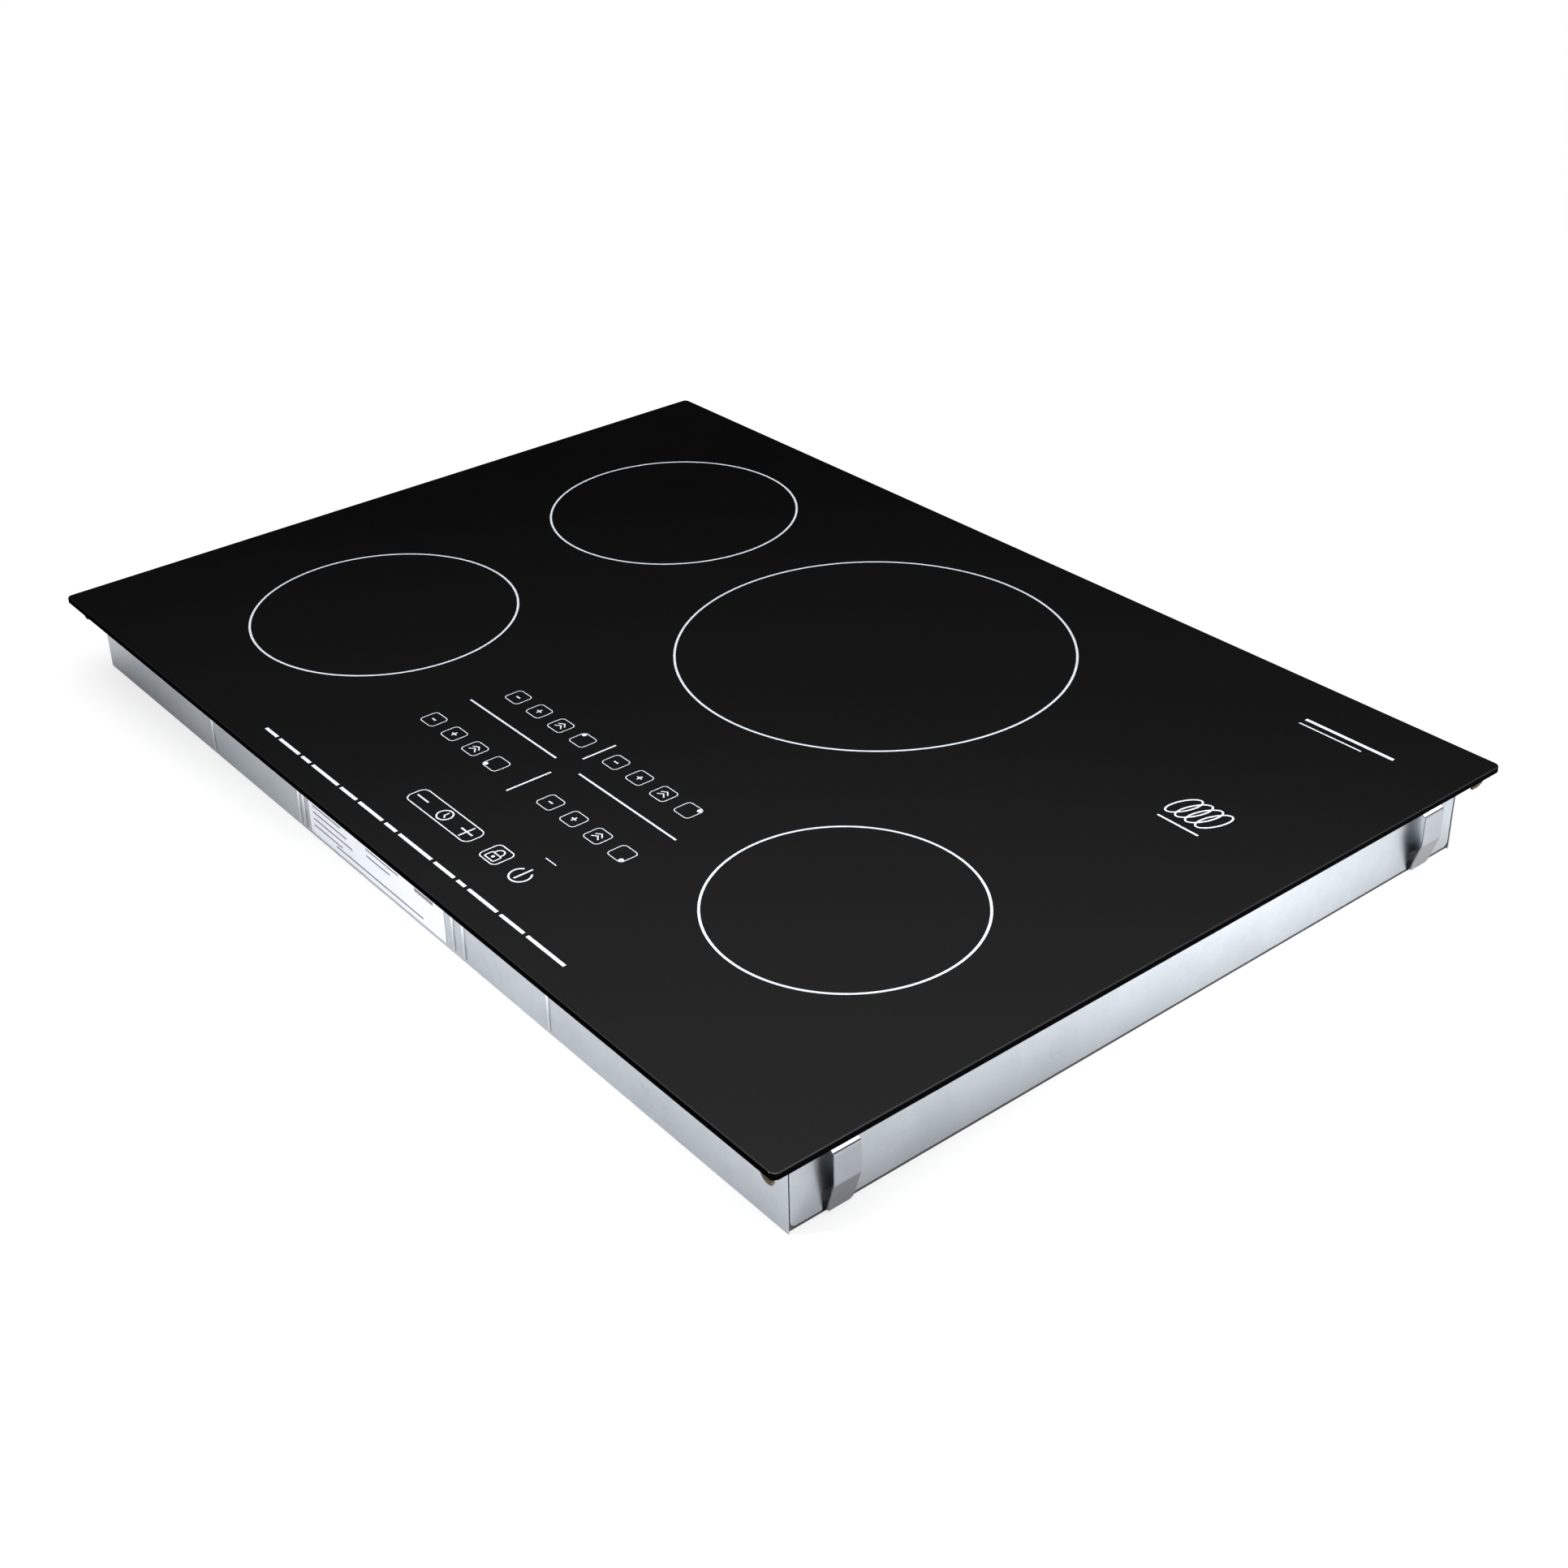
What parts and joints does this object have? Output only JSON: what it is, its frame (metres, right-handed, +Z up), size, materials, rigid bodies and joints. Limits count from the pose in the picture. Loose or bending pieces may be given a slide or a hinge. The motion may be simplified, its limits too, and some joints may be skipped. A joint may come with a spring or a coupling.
{
  "type": "induction cooktop",
  "caption": "Built-in induction cooktop: black ceramic glass with printed zones and touch keys over a shallow zinc-plated casing with spring clips at the sides.",
  "frame": {"origin": "centre of the underside of the casing, below the middle of the glass", "axes": "+X to the right along the front edge, +Y to the rear, +Z up out of the glass"},
  "size_m": [0.762, 0.5334, 0.055],
  "materials": {
    "ceramic_glass": "gloss",
    "seal": "matt",
    "frame_steel": "zinc plated",
    "zinc_steel": "zinc plated, satin",
    "spring_steel": "satin",
    "screw_steel": "zinc plated",
    "label": "satin",
    "pale_plastic": "moulded",
    "dark_plastic": "moulded",
    "brass": "turned",
    "bush_rubber": "matt",
    "aluminium": "mill",
    "copper_wire": "enamelled wire",
    "ferrite": "sintered",
    "mica": "pressed",
    "silicone": "moulded",
    "circuit_board": "lacquered",
    "component": "moulded",
    "wire": "insulated"
  },
  "bodies": {
    "casing": {"glass_panel": "ceramic_glass", "glass_seal": "seal", "top_frame": "frame_steel", "casing_tray": "zinc_steel", "side_panel_left": "zinc_steel", "side_panel_right": "zinc_steel", "edge_strip_left": "seal", "edge_strip_right": "seal", "casing_screws": "screw_steel", "rating_label": "label", "terminal_block": "pale_plastic", "terminal_cover": "dark_plastic", "terminal_screws": "brass", "cable_bush": "bush_rubber", "earth_stud": "brass", "coil_deck": "aluminium", "guide_posts": "pale_plastic", "coil_springs_rear_left": "spring_steel", "coil_springs_front_left": "spring_steel", "coil_springs_rear_right": "spring_steel", "coil_springs_front_right": "spring_steel", "fan_housing_left": "dark_plastic", "fan_housing_right": "dark_plastic", "power_board_left": "circuit_board", "power_board_right": "circuit_board", "heat_sink_left": "aluminium", "heat_sink_right": "aluminium", "board_parts": "component", "board_standoffs": "pale_plastic", "filter_board": "circuit_board", "control_bracket": "dark_plastic", "control_board": "circuit_board", "touch_springs": "spring_steel", "wiring_loom": "wire"},
    "clip_front_left_body": {"clip_front_left": "spring_steel"},
    "clip_rear_left_body": {"clip_rear_left": "spring_steel"},
    "clip_front_right_body": {"clip_front_right": "spring_steel"},
    "clip_rear_right_body": {"clip_rear_right": "spring_steel"},
    "coil_rear_left": {"coil_carrier_rear_left": "aluminium", "coil_winding_rear_left": "copper_wire", "ferrite_bars_rear_left": "ferrite", "mica_sheet_rear_left": "mica", "heat_sensor_rear_left": "silicone"},
    "coil_front_left": {"coil_carrier_front_left": "aluminium", "coil_winding_front_left": "copper_wire", "ferrite_bars_front_left": "ferrite", "mica_sheet_front_left": "mica", "heat_sensor_front_left": "silicone"},
    "coil_rear_right": {"coil_carrier_rear_right": "aluminium", "coil_winding_rear_right": "copper_wire", "ferrite_bars_rear_right": "ferrite", "mica_sheet_rear_right": "mica", "heat_sensor_rear_right": "silicone"},
    "coil_front_right": {"coil_carrier_front_right": "aluminium", "coil_winding_front_right": "copper_wire", "ferrite_bars_front_right": "ferrite", "mica_sheet_front_right": "mica", "heat_sensor_front_right": "silicone"},
    "fan_left": {"fan_rotor_left": "dark_plastic"},
    "fan_right": {"fan_rotor_right": "dark_plastic"}
  },
  "joints": [
    {"name": "clip_front_left_flex", "type": "hinge", "parent": "casing", "child": "clip_front_left_body", "pos_m": [-0.3665, -0.2177, 0.043], "axis": [0, -1, 0], "range_deg": [0, 6], "stiffness_Nm_per_rad": 0.5, "springref_deg": -2.86},
    {"name": "clip_rear_left_flex", "type": "hinge", "parent": "casing", "child": "clip_rear_left_body", "pos_m": [-0.3665, 0.2177, 0.043], "axis": [0, -1, 0], "range_deg": [0, 6], "stiffness_Nm_per_rad": 0.5, "springref_deg": -2.86},
    {"name": "clip_front_right_flex", "type": "hinge", "parent": "casing", "child": "clip_front_right_body", "pos_m": [0.3665, -0.2177, 0.043], "axis": [0, 1, 0], "range_deg": [0, 6], "stiffness_Nm_per_rad": 0.5, "springref_deg": -2.86},
    {"name": "clip_rear_right_flex", "type": "hinge", "parent": "casing", "child": "clip_rear_right_body", "pos_m": [0.3665, 0.2177, 0.043], "axis": [0, 1, 0], "range_deg": [0, 6], "stiffness_Nm_per_rad": 0.5, "springref_deg": -2.86},
    {"name": "coil_rear_left_float", "type": "slide", "parent": "casing", "child": "coil_rear_left", "axis": [0, 0, 1], "range_m": [-0.003, 0], "stiffness_N_per_m": 3000, "springref_m": 0.012, "deforming": ["coil_springs_rear_left"]},
    {"name": "coil_front_left_float", "type": "slide", "parent": "casing", "child": "coil_front_left", "axis": [0, 0, 1], "range_m": [-0.003, 0], "stiffness_N_per_m": 3000, "springref_m": 0.012, "deforming": ["coil_springs_front_left"]},
    {"name": "coil_rear_right_float", "type": "slide", "parent": "casing", "child": "coil_rear_right", "axis": [0, 0, 1], "range_m": [-0.003, 0], "stiffness_N_per_m": 3000, "springref_m": 0.012, "deforming": ["coil_springs_rear_right"]},
    {"name": "coil_front_right_float", "type": "slide", "parent": "casing", "child": "coil_front_right", "axis": [0, 0, 1], "range_m": [-0.003, 0], "stiffness_N_per_m": 3000, "springref_m": 0.012, "deforming": ["coil_springs_front_right"]},
    {"name": "fan_left_spin", "type": "hinge", "parent": "casing", "child": "fan_left", "pos_m": [-0.282, 0.1198, 0.012], "axis": [0, 0, 1], "continuous": true},
    {"name": "fan_right_spin", "type": "hinge", "parent": "casing", "child": "fan_right", "pos_m": [0.282, 0.1198, 0.012], "axis": [0, 0, 1], "continuous": true}
  ]
}
